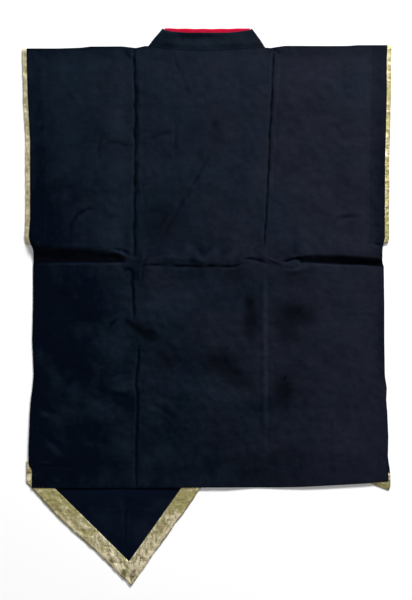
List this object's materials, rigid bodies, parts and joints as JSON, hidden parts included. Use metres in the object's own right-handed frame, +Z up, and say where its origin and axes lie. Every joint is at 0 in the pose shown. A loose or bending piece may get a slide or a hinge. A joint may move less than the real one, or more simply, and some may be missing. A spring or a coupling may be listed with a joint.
{
  "type": "sleeveless happi coat laid flat",
  "caption": "Sleeveless wrap-front happi coat laid flat on its front, with a narrow collar, one long pointed front, gold armhole and hem trims and a red collar lining.",
  "frame": {"origin": "on the surface, under the middle of the coat's box", "axes": "+Y runs up the coat to the collar, +X to the right as it lies with its back up, +Z up from the surface"},
  "size_m": [0.6638, 1.0034, 0.0094],
  "materials": {
    "cotton": "blue-black plain-weave cotton, matte",
    "gold_trim": "crinkled metallic gold cloth, soft sheen",
    "red_cotton": "scarlet plain-weave cotton, matte"
  },
  "bodies": {
    "root": {"back_panel": "cotton", "front_left_panel": "cotton", "front_right_panel": "cotton", "collar_band": "cotton", "collar_lining": "red_cotton", "armhole_trim_left": "gold_trim", "armhole_trim_right": "gold_trim", "hem_trim_left": "gold_trim", "hem_trim_right": "gold_trim"}
  },
  "joints": []
}
